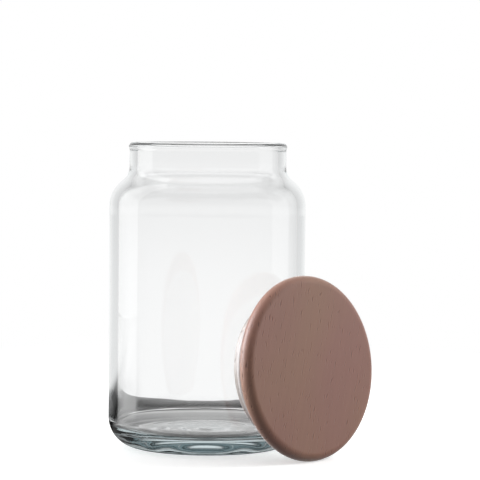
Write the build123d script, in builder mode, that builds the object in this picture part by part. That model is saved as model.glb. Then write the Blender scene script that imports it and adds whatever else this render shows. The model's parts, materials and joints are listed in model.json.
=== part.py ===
from build123d import *
import os
from math import atan2, cos, degrees, radians, sin, sqrt

# Sourdough starter jar: a thick clear glass jar with a wooden stopper lid taken off.
# The lid stands on its rim and leans with its plug against the jar's wall.
# Millimetres, +Z up. The origin is the middle of the jar's foot, on the table.

# Driving sizes of the glass
jar_h = 171.0
body_r = 55.0
body_wall = 4.8
heel_r = 16.7
base_t = 10.5
floor_corner_r = 5.0
floor_crown = 0.9

shoulder_r = 17.0
shoulder_turn = 50.0
neck_fillet_r = 7.0
neck_r = 43.9
neck_wall = 4.5
neck_h = 14.6

rim_bead = 0.5
rim_root_r = 1.5

foot_w = 4.5
foot_slope_w = 6.0
foot_slope_h = 0.8
punt_rise = 1.9
punt_mark_r = 3.2
punt_mark_h = 0.5

# Driving sizes of the lid
lid_overhang = 5.9
lid_t = 9.0
plug_clear = 0.6
plug_h = 13.6
plug_edge_r = 1.0
groove_w = 3.6
groove_d = 1.7
groove_share = 0.62
seal_squeeze = 0.9

# How the lid stands: its lean, and its bearing from +X towards -Y
lean = 6.0
lid_bearing = 45.0
lean_gap = 0.3

# Glass, worked out from the sizes above
body_inner_r = body_r - body_wall
mouth_r = neck_r - neck_wall
foot_r = body_r - heel_r
foot_inner_r = foot_r - foot_w
punt_r = foot_inner_r - foot_slope_w
punt_top = foot_slope_h + punt_rise

# the fire-polished rim is one round bead, flush with the mouth inside and a little proud outside
rim_r = (neck_wall + rim_bead) / 2
rim_mid_r = mouth_r + rim_r
rim_z = jar_h - rim_r

# fillet between the neck and the underside of the bead, tangent to both
root_mid_r = neck_r + rim_root_r
root_reach = rim_r + rim_root_r
root_drop = sqrt(root_reach ** 2 - (root_mid_r - rim_mid_r) ** 2)
root_z = rim_z - root_drop
root_angle = degrees(atan2(root_drop, root_mid_r - rim_mid_r))

# the shoulder is an ogee: a convex arc, a short cone and a hollow arc into the neck
turn = radians(shoulder_turn)
turn_drop = 1 - cos(turn)
slope_len = (body_r - neck_r - (shoulder_r + neck_fillet_r) * turn_drop) / sin(turn)
ogee_h = (shoulder_r + neck_fillet_r) * sin(turn) + slope_len * cos(turn)
neck_z = jar_h - neck_h
shoulder_z = neck_z - ogee_h

# the inside of the shoulder follows the outside at the thickness of the glass
inner_shoulder_r = shoulder_r - body_wall
inner_fillet_r = neck_fillet_r + neck_wall
inner_slope_len = (
    body_inner_r - mouth_r - (inner_shoulder_r + inner_fillet_r) * turn_drop
) / sin(turn)
inner_ogee_h = (inner_shoulder_r + inner_fillet_r) * sin(turn) + inner_slope_len * cos(turn)
inner_neck_z = shoulder_z + inner_ogee_h

# low domes of the floor and of the punt, each from its radius and its rise
floor_r = body_inner_r - floor_corner_r
floor_dome_r = (floor_r ** 2 + floor_crown ** 2) / (2 * floor_crown)
floor_dome_z = base_t + floor_crown - floor_dome_r
floor_mid_z = floor_dome_z + sqrt(floor_dome_r ** 2 - (floor_r / 2) ** 2)
punt_dome_r = (punt_r ** 2 + punt_rise ** 2) / (2 * punt_rise)
punt_dome_z = punt_top - punt_dome_r
punt_mid_r = (punt_r + punt_mark_r) / 2
punt_mid_z = punt_dome_z + sqrt(punt_dome_r ** 2 - punt_mid_r ** 2)
punt_mark_z = punt_dome_z + sqrt(punt_dome_r ** 2 - punt_mark_r ** 2)
punt_mark_top = punt_mark_z + punt_mark_h

# Lid, worked out from the sizes above
rim_outer_r = rim_mid_r + rim_r
lid_r = rim_outer_r + lid_overhang
lid_edge_r = lid_t / 2
lid_flat_r = lid_r - lid_edge_r
plug_r = mouth_r - plug_clear
plug_top = -lid_edge_r
plug_end = plug_top - plug_h
groove_r = plug_r - groove_d
groove_mid = plug_top - plug_h * groove_share
groove_low = groove_mid - groove_w / 2
groove_high = groove_mid + groove_w / 2
seal_r = mouth_r + seal_squeeze

# the rim rests on the table and the plug's upper edge rests against the glass
tilt = radians(lean)
way = radians(lid_bearing)
lid_z = lid_flat_r * cos(tilt) + lid_edge_r
plug_edge_mid_r = plug_r - plug_edge_r
plug_edge_mid_depth = -plug_end - plug_edge_r
lid_reach = (
    body_r
    + lean_gap
    + plug_edge_r
    + plug_edge_mid_r * sin(tilt)
    + plug_edge_mid_depth * cos(tilt)
)
lid_middle = Vector(lid_reach * cos(way), -lid_reach * sin(way), lid_z)
lid_normal = Vector(cos(way) * cos(tilt), -sin(way) * cos(tilt), sin(tilt))
lid_up = Vector(-cos(way) * sin(tilt), sin(way) * sin(tilt), cos(tilt))

# lid sections lie in the plane through the lid's axis: x runs up the face, y out of the face
lid_section = Plane(origin=lid_middle, x_dir=lid_up, z_dir=lid_up.cross(lid_normal))
lid_axis = Axis(origin=lid_middle, direction=lid_normal)

# Glass jar, turned about Z from one section through the wall.
with BuildPart() as jar_body:
    with BuildSketch(Plane.XZ) as jar_section:
        with BuildLine() as jar_outline:
            mark_edge = (punt_mark_r, punt_mark_z)
            Line((0, punt_mark_top), (0, base_t + floor_crown))
            # floor and inner corner
            ThreePointArc((0, base_t + floor_crown), (floor_r / 2, floor_mid_z), (floor_r, base_t))
            corner = CenterArc((floor_r, base_t + floor_corner_r), floor_corner_r, -90, 90)
            Line(corner @ 1, (body_inner_r, shoulder_z))
            # inside of the shoulder
            inner_convex = CenterArc(
                (body_r - shoulder_r, shoulder_z), inner_shoulder_r, 0, shoulder_turn
            )
            inner_hollow = CenterArc(
                (neck_r + neck_fillet_r, inner_neck_z),
                inner_fillet_r,
                180 + shoulder_turn,
                -shoulder_turn,
            )
            Line(inner_convex @ 1, inner_hollow @ 0)
            Line(inner_hollow @ 1, (mouth_r, rim_z))
            # bead of the rim, from the mouth over the top to the root fillet
            bead = CenterArc((rim_mid_r, rim_z), rim_r, 180, -180 - root_angle)
            root = CenterArc(
                (root_mid_r, root_z), rim_root_r, 180 - root_angle, root_angle
            )
            Line(root @ 1, (neck_r, neck_z))
            # outside of the shoulder
            hollow = CenterArc(
                (neck_r + neck_fillet_r, neck_z), neck_fillet_r, 180, shoulder_turn
            )
            convex = CenterArc(
                (body_r - shoulder_r, shoulder_z), shoulder_r, shoulder_turn, -shoulder_turn
            )
            Line(hollow @ 1, convex @ 0)
            Line(convex @ 1, (body_r, heel_r))
            # heel, foot ring, its inner slope and the punt with the mould's round mark
            CenterArc((foot_r, heel_r), heel_r, 0, -90)
            Line((foot_r, 0), (foot_inner_r, 0))
            Line((foot_inner_r, 0), (punt_r, foot_slope_h))
            ThreePointArc((punt_r, foot_slope_h), (punt_mid_r, punt_mid_z), mark_edge)
            Line(mark_edge, (punt_mark_r, punt_mark_top))
            Line((punt_mark_r, punt_mark_top), (0, punt_mark_top))
        make_face()
    revolve(axis=Axis.Z)

# Round wooden disc with a fully rounded edge.
with BuildPart() as lid_disc:
    with BuildSketch(lid_section) as disc_section:
        with BuildLine() as disc_outline:
            Line((0, -lid_edge_r), (lid_flat_r, -lid_edge_r))
            CenterArc((lid_flat_r, 0), lid_edge_r, -90, 180)
            Line((lid_flat_r, lid_edge_r), (0, lid_edge_r))
            Line((0, lid_edge_r), (0, -lid_edge_r))
        make_face()
    revolve(axis=lid_axis)

# Wooden plug glued to the back of the disc, grooved for the seal.
with BuildPart() as lid_plug:
    with BuildSketch(lid_section) as plug_section:
        with BuildLine() as plug_outline:
            Line((0, plug_top), (plug_r, plug_top))
            Line((plug_r, plug_top), (plug_r, groove_high))
            Line((plug_r, groove_high), (groove_r, groove_high))
            Line((groove_r, groove_high), (groove_r, groove_low))
            Line((groove_r, groove_low), (plug_r, groove_low))
            Line((plug_r, groove_low), (plug_r, plug_end + plug_edge_r))
            CenterArc((plug_edge_mid_r, plug_end + plug_edge_r), plug_edge_r, 0, -90)
            Line((plug_edge_mid_r, plug_end), (0, plug_end))
            Line((0, plug_end), (0, plug_top))
        make_face()
    revolve(axis=lid_axis)

# Soft seal ring that fills the groove and bulges past the plug to grip the mouth.
with BuildPart() as seal_ring:
    with BuildSketch(lid_section) as seal_section:
        with BuildLine() as seal_outline:
            Line((plug_r, groove_high), (groove_r, groove_high))
            Line((groove_r, groove_high), (groove_r, groove_low))
            Line((groove_r, groove_low), (plug_r, groove_low))
            ThreePointArc((plug_r, groove_low), (seal_r, groove_mid), (plug_r, groove_high))
        make_face()
    revolve(axis=lid_axis)

os.makedirs("parts", exist_ok=True)

jar_body.part.label = "jar_body"
export_step(jar_body.part, "parts/jar_body.step")

lid_disc.part.label = "lid_disc"
export_step(lid_disc.part, "parts/lid_disc.step")

lid_plug.part.label = "lid_plug"
export_step(lid_plug.part, "parts/lid_plug.step")

seal_ring.part.label = "seal_ring"
export_step(seal_ring.part, "parts/seal_ring.step")
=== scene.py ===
import json
from math import atan2, ceil, cos, degrees, dist, pi, radians, sin, sqrt, tan, tau

import bpy
from mathutils import Matrix, Vector, noise


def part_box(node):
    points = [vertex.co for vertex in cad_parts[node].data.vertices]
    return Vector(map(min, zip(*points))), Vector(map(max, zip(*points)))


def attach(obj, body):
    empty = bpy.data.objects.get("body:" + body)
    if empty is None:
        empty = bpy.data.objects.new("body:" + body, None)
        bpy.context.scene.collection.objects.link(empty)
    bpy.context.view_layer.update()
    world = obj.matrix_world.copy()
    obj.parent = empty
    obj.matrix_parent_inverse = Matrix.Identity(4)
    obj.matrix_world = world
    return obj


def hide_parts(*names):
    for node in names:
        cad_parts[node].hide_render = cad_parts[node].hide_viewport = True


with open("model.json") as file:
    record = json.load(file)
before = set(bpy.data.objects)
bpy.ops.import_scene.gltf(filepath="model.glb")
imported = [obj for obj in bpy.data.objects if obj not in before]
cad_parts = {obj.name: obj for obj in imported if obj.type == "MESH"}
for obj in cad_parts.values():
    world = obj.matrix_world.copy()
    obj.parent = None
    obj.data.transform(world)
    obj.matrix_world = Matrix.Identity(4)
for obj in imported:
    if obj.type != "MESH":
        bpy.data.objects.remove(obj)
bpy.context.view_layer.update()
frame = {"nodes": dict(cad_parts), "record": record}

# Sizes read from the frame, in metres
jar_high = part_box("jar_body")[1]
jar_h = jar_high.z
body_r = jar_high.x
mounts = {m["name"]: m for m in frame["record"]["mounts"]}
mouth_r = mounts["mouth"]["dims"]["r_mm"] / 1000
lid_low, lid_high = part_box("lid_disc")

# Sizes of the glass section, in metres, as the solid has them
body_wall = 0.0048
heel_r = 0.0167
base_t = 0.0105
floor_corner_r = 0.005
floor_crown = 0.0009
shoulder_r = 0.017
shoulder_turn = 50.0
neck_fillet_r = 0.007
neck_wall = 0.0045
neck_h = 0.0146
rim_bead = 0.0005
rim_root_r = 0.0015
foot_w = 0.0045
foot_slope_w = 0.006
foot_slope_h = 0.0008
punt_rise = 0.0019
punt_mark_r = 0.0032
punt_mark_h = 0.0005

# Finer than the solid: the rounding of the foot's inner edge, how far round it goes, and how much
# narrower the mould's mark is at its top
foot_edge_r = 0.0006
foot_edge_turn = 80.0
punt_mark_taper = 0.86

# Faults of moulded glass: low rings in the floor, and waves in the inner wall, longer upwards
ring_h = 0.00007
ring_pitch = 0.0075
wave_h = 0.00004
wave_len = 0.028
wave_stretch = 2.2

# The shoulder's lines run into each other softly: how far the softening reaches, its steps, and how
# much of the straight wall it takes in
soft_reach = 0.0018
soft_step = 0.0007
soft_run = 3 * soft_reach

# Fineness of the glass: steps around it, rows of points, and degrees for each step of an arc
glass_segments = 256
floor_rows = 44
wall_rows = 26
slope_rows = 4
punt_rows = 20
arc_step = 5.0
rim_step = 10.0
root_step = 12.0
foot_edge_step = 20.0

# Stand of the lid, in degrees, as the solids have it: its lean, and its bearing from +X towards -Y
lean = 6.0
lid_bearing = 45.0

# Wood: how far the grain leans on the face, how often drifts of colour, streaks and pores come along,
# across and into it per metre, and how far beside each pore its painted highlight, a lighter lip, is
grain_tilt = -20.0
drift_scale = (11, 19, 15)
streak_scale = (28, 330, 250)
pore_scale = (210, 950, 850)
pore_highlight_offset = 0.0006

# Colours of the wood where it drifts to olive, in the middle and where it drifts to rose. The plug's are
# paler: partly its own lighter wood, partly painted light that it catches from behind.
disc_colours = ((0.285, 0.151, 0.103), (0.283, 0.143, 0.104), (0.279, 0.135, 0.105))
plug_colours = ((0.42, 0.360, 0.325), (0.43, 0.360, 0.335), (0.44, 0.360, 0.340))

# The camera that took the photograph, fitted to the rim, the walls, the heel and the lid: metres and
# degrees, its focal length in pixels of the photograph, and the sensor's width in millimetres
camera_back = 1.4
camera_height = 0.192
camera_heading = 0.7487
camera_dip = 3.0871
camera_roll = 0.4744
focal_px = 2495.1
photo_px = 480
sensor_w = 36.0

# Rings and steps of the floor's mesh
floor_rings = (0.3, 0.8, 1.6, 3.0)
floor_segments = 64

# What the camera shows of the floor: the light added to it, and where it fades to white
floor_lift = 0.45
fade_reach = (0.20, 0.60)

# The table that the glass shows, painted on the floor as emission that only glass rays see, in metres
# from the middle of the jar's foot. Its far edge bows away to the sides, up to a limit. It is crisp
# behind the jar and soft further aside.
table_y = 0.224
table_bow = 2.6
table_bow_most = 0.045
edge_crisp = (table_y - 0.003, table_y + 0.003)
edge_soft = (table_y - 0.07, table_y + 0.03)
soft_aside = (0.12, 0.16)

# Painted tones of that table, its light and shade laid on as emission: behind the jar by how far back,
# less the bow, and in the strips beside that by how far aside. The strips run to black towards the jar, a
# painted shade.
middle_tones = (
    (0.05, 0.34), (0.10, 0.42), (0.118, 0.60), (0.135, 0.44), (0.16, 0.36),
    (0.178, 0.06), (0.19, 0.01), (0.20, 0.07), (0.21, 0.13), (0.222, 0.24))
strip_tones = ((0.135, 0.27), (0.155, 0.10), (0.21, 0.10), (0.28, 0.40))
strip_aside = (0.062, 0.070)
strip_back = (0.10, 0.20)

# Where and how much it differs from these tones: towards the sides, in front, right beside the jar,
# under it and far off. The dark right beside and under the jar is the jar's painted shadow. Shares are of
# a spot's way from the jar.
side_share = (0.2, 0.5)
side_tone = 0.78
front_share = (0.25, 0.5)
front_tone = 0.80
beside_share = (0.6, 0.9)
beside_reach = (0.075, 0.11)
painted_shade_beside_tone = 0.2
under_middle = (0, -0.018, 0)
under_reach = (0.034, 0.046)
painted_shadow_under_tone = 0.02
far_reach = (0.4, 3.0)
far_tone = 0.93

# How light the floor looks to the lid and to other matt surfaces
bounce_tone = 0.10

# A painted reflection of the left softbox on the table, a pool of light laid on as emission that only
# reflections see: the part of the jar's wall that shows it, the way from there to the lamp's middle, how
# straight that way a spot has to lie, how light it is, and the shares of that by distance from the jar,
# up to the lamp
painted_reflection_from = (-0.043, -0.034, 0)
painted_reflection_way = (-0.949, 0.316, 0)
painted_reflection_facing = (0.935, 0.955)
painted_reflection_tone = 1.8
painted_reflection_shares = ((0.17, 0.15), (0.30, 0.90), (0.42, 0.95), (0.90, 0.50), (0.93, 0.0))

# Tones of the room through the glass and in a reflection, by how far a direction points away from the
# camera's side, from -1 to 1
clear_tones = (
    (-1.0, 0.80), (0.0, 0.76), (0.60, 0.70), (0.75, 0.66), (0.90, 0.74), (0.97, 0.90), (1.0, 0.90))
dim_tones = ((-1.0, 0.15), (-0.6, 0.18), (0.3, 0.6), (1.0, 0.95))

# Through the glass the room is a little lighter under the horizon and duller overhead: between which
# slopes of a direction it changes, and by how much
low_slopes = (-0.045, -0.005)
low_gain = 1.06
ceiling_slopes = (0.30, 0.60)
ceiling_gain = 0.45


def arc(middle, r, start, turn, step=arc_step):
    """Points of a round stretch, from its middle, its radius, where it starts and how far it turns."""
    count = max(2, ceil(abs(turn) / step))
    angles = [radians(start + turn * i / count) for i in range(count + 1)]
    return [(middle[0] + r * cos(a), middle[1] + r * sin(a)) for a in angles]


def part_way(start, end, share):
    """The point a share of the way from start to end."""
    return (start[0] + (end[0] - start[0]) * share, start[1] + (end[1] - start[1]) * share)


def run(start, end, count):
    """Points of a straight stretch, without its two ends."""
    return [part_way(start, end, (i + 1) / (count + 1)) for i in range(count)]


def softened(points):
    """The same line in even short steps, with its changes of curve smoothed out. Its ends stay."""
    line = []
    for start, end in zip(points, points[1:]):
        count = max(1, ceil(dist(start, end) / soft_step))
        line += [part_way(start, end, i / count) for i in range(count)]
    line.append(points[-1])
    # each pass adds half a step to the square of the reach, counted in steps
    for i in range(round(2 * (soft_reach / soft_step) ** 2)):
        inner = [
            ((a[0] + 2 * b[0] + c[0]) / 4, (a[1] + 2 * b[1] + c[1]) / 4)
            for a, b, c in zip(line, line[1:], line[2:])
        ]
        line = [line[0]] + inner + [line[-1]]
    return line


def glass_outline():
    """The jar's section from the middle of the floor, over the rim, to the middle of the punt."""
    body_inner_r = body_r - body_wall
    neck_r = mouth_r + neck_wall
    foot_r = body_r - heel_r
    foot_inner_r = foot_r - foot_w
    punt_r = foot_inner_r - foot_slope_w
    floor_r = body_inner_r - floor_corner_r
    turn = radians(shoulder_turn)
    slope_len = (body_r - neck_r - (shoulder_r + neck_fillet_r) * (1 - cos(turn))) / sin(turn)
    ogee_h = (shoulder_r + neck_fillet_r) * sin(turn) + slope_len * cos(turn)
    neck_z = jar_h - neck_h
    shoulder_z = neck_z - ogee_h
    inner_shoulder_r = shoulder_r - body_wall
    inner_fillet_r = neck_fillet_r + neck_wall
    inner_slope_len = (
        body_inner_r - mouth_r - (inner_shoulder_r + inner_fillet_r) * (1 - cos(turn))
    ) / sin(turn)
    inner_neck_z = (
        shoulder_z
        + (inner_shoulder_r + inner_fillet_r) * sin(turn)
        + inner_slope_len * cos(turn)
    )
    rim_r = (neck_wall + rim_bead) / 2
    rim_mid_r = mouth_r + rim_r
    rim_z = jar_h - rim_r
    root_mid_r = neck_r + rim_root_r
    root_drop = sqrt((rim_r + rim_root_r) ** 2 - (root_mid_r - rim_mid_r) ** 2)
    root_z = rim_z - root_drop
    root_angle = degrees(atan2(root_drop, root_mid_r - rim_mid_r))
    shoulder_middle = (body_r - shoulder_r, shoulder_z)
    fillet_r = neck_r + neck_fillet_r
    soft_low = shoulder_z - soft_run

    # floor, inner corner and inner wall
    points = [(0.0, base_t + floor_crown)]
    for i in range(1, floor_rows + 1):
        r = floor_r * i / floor_rows
        rise = floor_crown * (1 - (r / floor_r) ** 2)
        ripple = ring_h * cos(tau * r / ring_pitch) * (1 - (r / floor_r) ** 4)
        points.append((r, base_t + rise + ripple))
    corner_z = base_t + floor_corner_r
    points += arc((floor_r, corner_z), floor_corner_r, -90, 90)[1:]
    points += run((body_inner_r, corner_z), (body_inner_r, soft_low), wall_rows)

    # inside of the shoulder, rim, fillet under it and outside of the shoulder
    inside = [(body_inner_r, soft_low)]
    inside += arc(shoulder_middle, inner_shoulder_r, 0, shoulder_turn)
    inside += arc((fillet_r, inner_neck_z), inner_fillet_r, 180 + shoulder_turn, -shoulder_turn)
    inside.append((mouth_r, rim_z))
    points += softened(inside)[:-1]
    points += arc((rim_mid_r, rim_z), rim_r, 180, -180 - root_angle, rim_step)
    points += arc((root_mid_r, root_z), rim_root_r, 180 - root_angle, root_angle, root_step)[1:-1]
    outside = [(neck_r, root_z)]
    outside += arc((fillet_r, neck_z), neck_fillet_r, 180, shoulder_turn)
    outside += arc(shoulder_middle, shoulder_r, shoulder_turn, -shoulder_turn)
    outside.append((body_r, soft_low))
    points += softened(outside)

    # outer wall, heel, foot and punt with the mould's mark
    points += run((body_r, soft_low), (body_r, heel_r), wall_rows)
    points += arc((foot_r, heel_r), heel_r, 0, -90)
    points += arc((foot_inner_r, foot_edge_r), foot_edge_r, -90, -foot_edge_turn, foot_edge_step)
    points += run(points[-1], (punt_r, foot_slope_h), slope_rows)
    for i in range(punt_rows):
        r = punt_r + (punt_mark_r - punt_r) * i / punt_rows
        points.append((r, foot_slope_h + punt_rise * (1 - (r / punt_r) ** 2)))
    mark_z = foot_slope_h + punt_rise * (1 - (punt_mark_r / punt_r) ** 2)
    points.append((punt_mark_r, mark_z))
    points.append((punt_mark_r * punt_mark_taper, mark_z + punt_mark_h))
    points.append((0.0, mark_z + punt_mark_h))
    return points


def turned(name, outline, segments, bend=None):
    """A mesh made by turning an outline about Z. bend moves each point a little."""
    verts, faces, rows = [], [], []
    for r, z in outline:
        if r == 0.0:
            rows.append([len(verts)])
            verts.append((0.0, 0.0, z))
            continue
        row = []
        for k in range(segments):
            a = tau * k / segments
            point = Vector((r * cos(a), r * sin(a), z))
            row.append(len(verts))
            verts.append(bend(point, r, z) if bend else point)
        rows.append(row)
    for low, high in zip(rows, rows[1:]):
        for k in range(segments):
            n = (k + 1) % segments
            if len(low) == 1:
                faces.append((low[0], high[k], high[n]))
            elif len(high) == 1:
                faces.append((low[k], high[0], low[n]))
            else:
                faces.append((low[k], high[k], high[n], low[n]))
    mesh = bpy.data.meshes.new(name)
    mesh.from_pydata(verts, [], faces)
    mesh.validate()
    mesh.update()
    mesh.polygons.foreach_set("use_smooth", [True] * len(mesh.polygons))
    piece = bpy.data.objects.new(name, mesh)
    bpy.context.scene.collection.objects.link(piece)
    return piece


def wall_wave(point, r, z):
    """Moves the inner wall in and out by a few hundredths of a millimetre."""
    body_inner_r = body_r - body_wall
    if r > body_inner_r + body_wall / 2 or z < base_t + floor_corner_r:
        return point
    out = point.xy.normalized()
    around = out * (body_inner_r / wave_len)
    amount = noise.noise(Vector((around.x, around.y, z / (wave_len * wave_stretch)))) * wave_h
    move = out * amount
    return Vector((point.x + move.x, point.y + move.y, point.z))


def lid_matrix():
    """The lid's own frame: x up its face, y across it, z out of its face, from its middle."""
    tilt, way = radians(lean), radians(lid_bearing)
    normal = Vector((cos(way) * cos(tilt), -sin(way) * cos(tilt), sin(tilt)))
    up = Vector((-cos(way) * sin(tilt), sin(way) * sin(tilt), cos(tilt)))
    across = normal.cross(up)
    middle = (lid_low + lid_high) / 2
    turn = Matrix((up, across, normal)).transposed()
    return Matrix.Translation(middle) @ turn.to_4x4()


def nodes_of(owner):
    """The node tree of a material or a world, emptied."""
    owner.use_nodes = True
    tree = owner.node_tree
    tree.nodes.clear()
    return tree


def ramp_of(tree, value, *stops):
    """A colour ramp. Each stop is a position and a colour."""
    node = tree.nodes.new("ShaderNodeValToRGB")
    node.color_ramp.elements.remove(node.color_ramp.elements[0])
    node.color_ramp.elements[0].position = stops[0][0]
    node.color_ramp.elements[0].color = (*stops[0][1], 1)
    for position, colour in stops[1:]:
        node.color_ramp.elements.new(position).color = (*colour, 1)
    tree.links.new(value, node.inputs["Fac"])
    return node.outputs["Color"]


def greys(tree, value, *stops):
    """A colour ramp of greys. Each stop is a position and a tone."""
    return ramp_of(tree, value, *[(position, (tone, tone, tone)) for position, tone in stops])


def span(tree, value, low, high, first, last):
    """Runs softly from first to last while the value runs from low to high."""
    node = tree.nodes.new("ShaderNodeMapRange")
    node.interpolation_type = "SMOOTHSTEP"
    node.inputs["From Min"].default_value = low
    node.inputs["From Max"].default_value = high
    node.inputs["To Min"].default_value = first
    node.inputs["To Max"].default_value = last
    tree.links.new(value, node.inputs["Value"])
    return node.outputs["Result"]


def joined(tree, kind, a, b=None):
    """Arithmetic on a value of the tree. b is another one, a number, or not needed."""
    node = tree.nodes.new("ShaderNodeMath")
    node.operation = kind
    tree.links.new(a, node.inputs[0])
    if isinstance(b, float):
        node.inputs[1].default_value = b
    elif b:
        tree.links.new(b, node.inputs[1])
    return node.outputs["Value"]


def vectors(tree, kind, a, b=None):
    """Arithmetic on a vector of the tree. b is a constant vector, or not needed."""
    node = tree.nodes.new("ShaderNodeVectorMath")
    node.operation = kind
    tree.links.new(a, node.inputs[0])
    if b:
        node.inputs[1].default_value = b
    return node.outputs


def between(tree, share, a, b):
    """A value between a and b."""
    node = tree.nodes.new("ShaderNodeMix")
    tree.links.new(share, node.inputs["Factor"])
    tree.links.new(a, node.inputs["A"])
    tree.links.new(b, node.inputs["B"])
    return node.outputs["Result"]


def mixed(tree, share, a, b):
    """A shader between a and b."""
    node = tree.nodes.new("ShaderNodeMixShader")
    tree.links.new(share, node.inputs["Fac"])
    tree.links.new(a, node.inputs[1])
    tree.links.new(b, node.inputs[2])
    return node.outputs["Shader"]


def glass_material():
    """Clear glass with a slightly uneven surface, bluish where it is thick. Its shadow is light."""
    material = bpy.data.materials.new("clear_glass")
    tree = nodes_of(material)
    link = tree.links.new
    out = tree.nodes.new("ShaderNodeOutputMaterial")
    glass = tree.nodes.new("ShaderNodeBsdfPrincipled")
    glass.inputs["Base Color"].default_value = (0.999, 0.996, 0.995, 1)
    glass.inputs["Roughness"].default_value = 0.0
    glass.inputs["IOR"].default_value = 1.52
    glass.inputs["Transmission Weight"].default_value = 1.0
    place = tree.nodes.new("ShaderNodeTexCoord")
    ripple = tree.nodes.new("ShaderNodeTexNoise")
    ripple.inputs["Scale"].default_value = 55.0
    ripple.inputs["Detail"].default_value = 2.0
    bump = tree.nodes.new("ShaderNodeBump")
    bump.inputs["Strength"].default_value = 0.02
    bump.inputs["Distance"].default_value = 0.001
    link(place.outputs["Object"], ripple.inputs["Vector"])
    link(ripple.outputs["Fac"], bump.inputs["Height"])
    link(bump.outputs["Normal"], glass.inputs["Normal"])
    clear = tree.nodes.new("ShaderNodeBsdfTransparent")
    clear.inputs["Color"].default_value = (0.90, 0.92, 0.92, 1)
    ray = tree.nodes.new("ShaderNodeLightPath")
    surface = mixed(tree, ray.outputs["Is Shadow Ray"], glass.outputs["BSDF"], clear.outputs["BSDF"])
    link(surface, out.inputs["Surface"])
    tint = tree.nodes.new("ShaderNodeVolumeAbsorption")
    tint.inputs["Color"].default_value = (0.62, 0.80, 0.84, 1)
    tint.inputs["Density"].default_value = 7.0
    link(tint.outputs["Volume"], out.inputs["Volume"])
    return material


def wood_material(name, olive, middle, rosy):
    """Smooth close-grained wood, with a broad drift of colour, fine streaks and short open pores, each
    with a painted highlight beside it.
    """
    material = bpy.data.materials.new(name)
    tree = nodes_of(material)
    link = tree.links.new
    out = tree.nodes.new("ShaderNodeOutputMaterial")
    wood = tree.nodes.new("ShaderNodeBsdfPrincipled")
    wood.inputs["IOR"].default_value = 1.45
    wood.inputs["Sheen Weight"].default_value = 0.7
    wood.inputs["Sheen Roughness"].default_value = 0.3
    wood.inputs["Sheen Tint"].default_value = (1.0, 0.93, 0.88, 1)
    to_lid = (lid_matrix() @ Matrix.Rotation(radians(grain_tilt), 4, "Z")).inverted()
    place = tree.nodes.new("ShaderNodeTexCoord")
    local = tree.nodes.new("ShaderNodeMapping")
    local.inputs["Location"].default_value = to_lid.translation
    local.inputs["Rotation"].default_value = to_lid.to_euler()
    link(place.outputs["Object"], local.inputs["Vector"])

    def stretched(scale, detail, across=0.0):
        """Noise drawn out along the grain, and moved across it."""
        squeeze = tree.nodes.new("ShaderNodeMapping")
        squeeze.inputs["Scale"].default_value = scale
        squeeze.inputs["Location"].default_value = (0, across * scale[1], 0)
        grain = tree.nodes.new("ShaderNodeTexNoise")
        grain.inputs["Scale"].default_value = 1.0
        grain.inputs["Detail"].default_value = detail
        grain.inputs["Roughness"].default_value = 0.5
        link(local.outputs["Vector"], squeeze.inputs["Vector"])
        link(squeeze.outputs["Vector"], grain.inputs["Vector"])
        return grain.outputs["Fac"]

    def times(a, b):
        """The product of two colours."""
        node = tree.nodes.new("ShaderNodeMix")
        node.data_type = "RGBA"
        node.blend_type = "MULTIPLY"
        node.inputs["Factor"].default_value = 1.0
        link(a, node.inputs["A"])
        link(b, node.inputs["B"])
        return node.outputs["Result"]

    drift = stretched(drift_scale, 1.0)
    streaks = stretched(streak_scale, 2.0)
    pores = stretched(pore_scale, 0.0)
    painted_pore_highlights = stretched(pore_scale, 0.0, pore_highlight_offset)
    base = ramp_of(tree, drift, (0.36, olive), (0.50, middle), (0.64, rosy))
    fine = ramp_of(tree, streaks, (0.30, (0.965, 0.96, 0.955)), (0.70, (1.03, 1.03, 1.03)))
    dark = ramp_of(tree, pores, (0.20, (0.62, 0.59, 0.58)), (0.30, (1, 1, 1)))
    # painted highlight: each pore gets a lighter lip beside it, as if light grazed it from that side
    light = ramp_of(tree, painted_pore_highlights, (0.20, (1.26, 1.24, 1.22)), (0.29, (1, 1, 1)))
    colour = times(times(times(base, fine), light), dark)
    link(colour, wood.inputs["Base Color"])
    rough = tree.nodes.new("ShaderNodeMapRange")
    rough.inputs["To Min"].default_value = 0.36
    rough.inputs["To Max"].default_value = 0.52
    link(streaks, rough.inputs["Value"])
    link(rough.outputs["Result"], wood.inputs["Roughness"])
    pit = tree.nodes.new("ShaderNodeMapRange")
    pit.inputs["From Min"].default_value = 0.20
    pit.inputs["From Max"].default_value = 0.34
    link(pores, pit.inputs["Value"])
    bump = tree.nodes.new("ShaderNodeBump")
    bump.inputs["Strength"].default_value = 0.5
    bump.inputs["Distance"].default_value = 0.0003
    link(pit.outputs["Result"], bump.inputs["Height"])
    link(bump.outputs["Normal"], wood.inputs["Normal"])
    link(wood.outputs["BSDF"], out.inputs["Surface"])
    return material


def silicone_material():
    """Soft translucent silicone, a little cloudy."""
    material = bpy.data.materials.new("seal_silicone")
    tree = nodes_of(material)
    link = tree.links.new
    out = tree.nodes.new("ShaderNodeOutputMaterial")
    soft = tree.nodes.new("ShaderNodeBsdfPrincipled")
    soft.inputs["Roughness"].default_value = 0.45
    soft.inputs["IOR"].default_value = 1.41
    soft.inputs["Subsurface Weight"].default_value = 0.3
    soft.inputs["Subsurface Radius"].default_value = (0.002, 0.0018, 0.0016)
    soft.inputs["Subsurface Scale"].default_value = 1.0
    place = tree.nodes.new("ShaderNodeTexCoord")
    cloud = tree.nodes.new("ShaderNodeTexNoise")
    cloud.inputs["Scale"].default_value = 260.0
    link(place.outputs["Object"], cloud.inputs["Vector"])
    tone = ramp_of(tree, cloud.outputs["Fac"], (0.0, (0.42, 0.37, 0.345)), (1.0, (0.49, 0.435, 0.41)))
    link(tone, soft.inputs["Base Color"])
    link(soft.outputs["BSDF"], out.inputs["Surface"])
    return material


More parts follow.
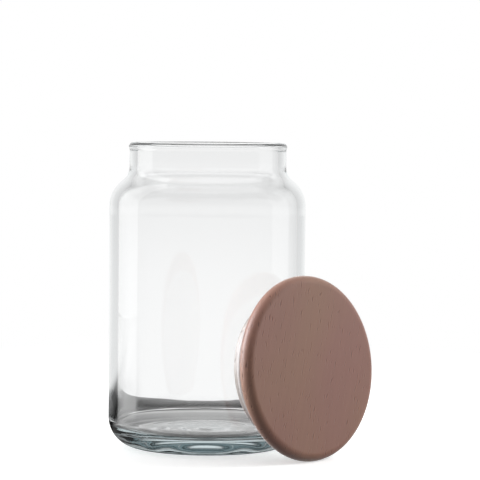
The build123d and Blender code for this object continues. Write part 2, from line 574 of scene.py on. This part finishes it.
def painted_table_tone(tree, spot, away):
    """How light the glass shows the table, by the spot and its distance from the jar: painted light and
    shade, laid on the floor as emission.
    """
    split = tree.nodes.new("ShaderNodeSeparateXYZ")
    tree.links.new(spot, split.inputs["Vector"])
    along = split.outputs["Y"]
    aside = joined(tree, "ABSOLUTE", split.outputs["X"])
    along_share = joined(tree, "DIVIDE", along, away)
    aside_share = joined(tree, "DIVIDE", aside, away)

    bow = joined(tree, "MULTIPLY", joined(tree, "MULTIPLY", aside, aside), table_bow)
    edge = joined(tree, "SUBTRACT", along, joined(tree, "MINIMUM", bow, table_bow_most))
    crisp = span(tree, edge, *edge_crisp, 0.0, 1.0)
    soft = span(tree, edge, *edge_soft, 0.0, 1.0)
    past = between(tree, span(tree, aside, *soft_aside, 0.0, 1.0), crisp, soft)
    # painted light and shade of the table behind the jar
    middle = greys(tree, edge, *middle_tones)
    strip = greys(tree, aside, *strip_tones)
    # painted shade: the strips darken towards the jar
    strip = joined(tree, "MULTIPLY", strip, span(tree, along, *strip_back, 0.0, 1.0))
    table_top = between(tree, span(tree, aside, *strip_aside, 0.0, 1.0), middle, strip)

    sides = span(tree, aside_share, *side_share, 1.0, side_tone)
    back = joined(tree, "MULTIPLY", joined(tree, "MAXIMUM", past, table_top), sides)
    front = span(tree, along_share, *front_share, front_tone, 0.0)
    far = span(tree, away, *far_reach, 1.0, far_tone)
    # the jar's painted shadow: the table darkens under the jar and right beside it
    shade = vectors(tree, "DISTANCE", spot, under_middle)["Value"]
    under = span(tree, shade, *under_reach, painted_shadow_under_tone, 1.0)
    beside = span(tree, aside_share, *beside_share, 1.0, painted_shade_beside_tone)
    close = joined(tree, "MAXIMUM", beside, span(tree, away, *beside_reach, 0.0, 1.0))
    tone = joined(tree, "MAXIMUM", back, front)
    tone = joined(tree, "MULTIPLY", tone, joined(tree, "MULTIPLY", far, under))
    return joined(tree, "MULTIPLY", tone, close)


def painted_softbox_reflection(tree, spot, away, ray):
    """A painted reflection of the left softbox: a pool of light laid on the table, seen only in
    reflections.
    """
    aim = vectors(tree, "SUBTRACT", spot, painted_reflection_from)["Vector"]
    aim = vectors(tree, "NORMALIZE", aim)["Vector"]
    facing = vectors(tree, "DOT_PRODUCT", aim, painted_reflection_way)["Value"]
    pool = span(tree, facing, *painted_reflection_facing, 0.0, painted_reflection_tone)
    pool = joined(tree, "MULTIPLY", pool, greys(tree, away, *painted_reflection_shares))
    pool = joined(tree, "MULTIPLY", pool, ray.outputs["Is Glossy Ray"])
    # clear glass counts the rays that pass through it as glossy too
    thrown_back = span(tree, ray.outputs["Is Transmission Ray"], 0.0, 1.0, 1.0, 0.0)
    return joined(tree, "MULTIPLY", pool, thrown_back)


def floor_material():
    """Pale, with the object's shadow near it, and white further off.

    In the glass the floor shows as the darker table of the photograph, its light and shade painted on
    as emission, with a painted reflection of the left softbox, and it throws little light up at the lid."""
    material = bpy.data.materials.new("pale_floor")
    tree = nodes_of(material)
    link = tree.links.new
    out = tree.nodes.new("ShaderNodeOutputMaterial")
    ray = tree.nodes.new("ShaderNodeLightPath")
    place = tree.nodes.new("ShaderNodeTexCoord")
    spot = place.outputs["Object"]
    away = vectors(tree, "LENGTH", spot)["Value"]

    matt = tree.nodes.new("ShaderNodeBsdfDiffuse")
    matt.inputs["Color"].default_value = (0.80, 0.80, 0.80, 1)
    lift = tree.nodes.new("ShaderNodeEmission")
    lift.inputs["Strength"].default_value = floor_lift
    near = tree.nodes.new("ShaderNodeAddShader")
    link(matt.outputs["BSDF"], near.inputs[0])
    link(lift.outputs["Emission"], near.inputs[1])
    white = tree.nodes.new("ShaderNodeEmission")
    fade = span(tree, away, *fade_reach, 0.0, 1.0)
    seen = mixed(tree, fade, near.outputs["Shader"], white.outputs["Emission"])

    # the painted table and the painted reflection of the left softbox on it, both laid on as emission
    tone = joined(tree, "ADD", painted_table_tone(tree, spot, away), painted_softbox_reflection(tree, spot, away, ray))
    table = tree.nodes.new("ShaderNodeEmission")
    link(tone, table.inputs["Strength"])
    dull = tree.nodes.new("ShaderNodeEmission")
    dull.inputs["Strength"].default_value = bounce_tone
    unseen = mixed(
        tree, ray.outputs["Is Diffuse Ray"], table.outputs["Emission"], dull.outputs["Emission"])
    link(mixed(tree, ray.outputs["Is Camera Ray"], unseen, seen), out.inputs["Surface"])
    return material


def studio_world():
    """White to the camera. Glass sees a light room, and a reflection one that is dim in front."""
    world = bpy.data.worlds.new("studio")
    bpy.context.scene.world = world
    tree = nodes_of(world)
    link = tree.links.new
    out = tree.nodes.new("ShaderNodeOutputWorld")
    ray = tree.nodes.new("ShaderNodeLightPath")
    place = tree.nodes.new("ShaderNodeTexCoord")
    split = tree.nodes.new("ShaderNodeSeparateXYZ")
    link(place.outputs["Generated"], split.inputs["Vector"])
    # a ramp runs from 0 to 1, so the directions' -1 to 1 is halved and moved
    half = tree.nodes.new("ShaderNodeMath")
    half.operation = "MULTIPLY_ADD"
    half.inputs[1].default_value = 0.5
    half.inputs[2].default_value = 0.5
    link(split.outputs["Y"], half.inputs[0])

    def room(tones):
        """A room whose light goes by how far a direction points away from the camera's side."""
        shade = tree.nodes.new("ShaderNodeBackground")
        stops = [((y + 1) / 2, tone) for y, tone in tones]
        link(greys(tree, half.outputs["Value"], *stops), shade.inputs["Color"])
        return shade

    clear = room(clear_tones)
    foot = span(tree, split.outputs["Z"], *low_slopes, low_gain, 1.0)
    ceiling = span(tree, split.outputs["Z"], *ceiling_slopes, 1.0, ceiling_gain)
    link(joined(tree, "MULTIPLY", foot, ceiling), clear.inputs["Strength"])
    dim = room(dim_tones)
    white = tree.nodes.new("ShaderNodeBackground")
    white.inputs["Color"].default_value = (1, 1, 1, 1)
    through = ray.outputs["Is Transmission Ray"]
    shown = mixed(tree, through, dim.outputs["Background"], clear.outputs["Background"])
    shown = mixed(tree, ray.outputs["Is Camera Ray"], shown, white.outputs["Background"])
    link(shown, out.inputs["Surface"])


def softbox(name, bearing, low, high, distance, spread, radiance, gloss=True, only=(),
            colour=(1.0, 1.0, 1.0)):
    """An upright area lamp that faces the jar, from a low to a high height.

    The bearing is counted from the camera's side, to the right, and spread is how many degrees of
    it the lamp takes. It isn't seen by the camera or through glass, and without gloss it isn't seen
    in a reflection or a sheen either. only names the frame's nodes that it lights, if not all."""
    width = 2 * distance * tan(radians(spread / 2))
    lamp = bpy.data.lights.new(name, "AREA")
    lamp.shape = "RECTANGLE"
    lamp.size = width
    lamp.size_y = high - low
    lamp.energy = radiance * pi * width * (high - low)
    lamp.color = colour
    holder = bpy.data.objects.new(name, lamp)
    a = radians(bearing)
    holder.location = (distance * sin(a), -distance * cos(a), (low + high) / 2)
    holder.rotation_euler = Vector((-sin(a), cos(a), 0)).to_track_quat("-Z", "Y").to_euler()
    holder.visible_camera = False
    holder.visible_glossy = gloss
    holder.visible_transmission = False
    bpy.context.scene.collection.objects.link(holder)
    if only:
        lit = bpy.data.collections.new(name + "_lights")
        for node in only:
            lit.objects.link(frame["nodes"][node])
        holder.light_linking.receiver_collection = lit


def add_camera():
    """The camera of the photograph."""
    lens = bpy.data.cameras.new("photo_camera")
    lens.sensor_width = sensor_w
    lens.lens = sensor_w * focal_px / photo_px
    lens.clip_start = 0.01
    holder = bpy.data.objects.new("photo_camera", lens)
    place = Matrix.Translation((0, -camera_back, camera_height))
    heading = Matrix.Rotation(-radians(camera_heading), 4, "Z")
    dip = Matrix.Rotation(pi / 2 - radians(camera_dip), 4, "X")
    roll = Matrix.Rotation(radians(camera_roll), 4, "Z")
    holder.matrix_world = place @ heading @ dip @ roll
    bpy.context.scene.collection.objects.link(holder)
    bpy.context.scene.camera = holder


def add_floor():
    """A flat round floor. There is no backdrop: the world behind it is white to the camera."""
    rings = [(r, 0.0) for r in floor_rings]
    floor = turned("floor", [(0.0, 0.0)] + rings, floor_segments)
    floor.data.materials.append(floor_material())


def dress(name, material):
    """Gives a solid of the frame a better material."""
    node = frame["nodes"][name]
    node.data.materials.clear()
    node.data.materials.append(material)


jar = turned("jar_glass", glass_outline(), glass_segments, wall_wave)
jar.data.materials.append(glass_material())
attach(jar, "jar")
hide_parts("jar_body")

dress("lid_disc", wood_material("lid_wood", *disc_colours))
dress("lid_plug", wood_material("plug_wood", *plug_colours))
dress("seal_ring", silicone_material())

add_floor()
studio_world()
softbox("left_softbox", bearing=-105.5, low=0.0, high=1.9, distance=0.9, spread=37, radiance=1.3)
softbox("right_softbox", bearing=93, low=0.0, high=1.6, distance=0.9, spread=28, radiance=0.7)
softbox("right_fill", bearing=92, low=0.1, high=1.1, distance=0.9, spread=50, radiance=4.1, gloss=False)
softbox("back_light", bearing=-145, low=0.3, high=1.3, distance=1.0, spread=40, radiance=3.0, gloss=False)
softbox("lid_rim_light", bearing=-88, low=0.1, high=1.3, distance=0.9, spread=40, radiance=12.0,
        colour=(0.92, 1.0, 1.07), only=("lid_disc", "lid_plug", "seal_ring"))
add_camera()

# thick glass needs long light paths, or its foot turns black
bpy.context.scene.cycles.max_bounces = 24
bpy.context.scene.cycles.glossy_bounces = 16
bpy.context.scene.cycles.transmission_bounces = 24
bpy.context.scene.view_settings.view_transform = "Standard"
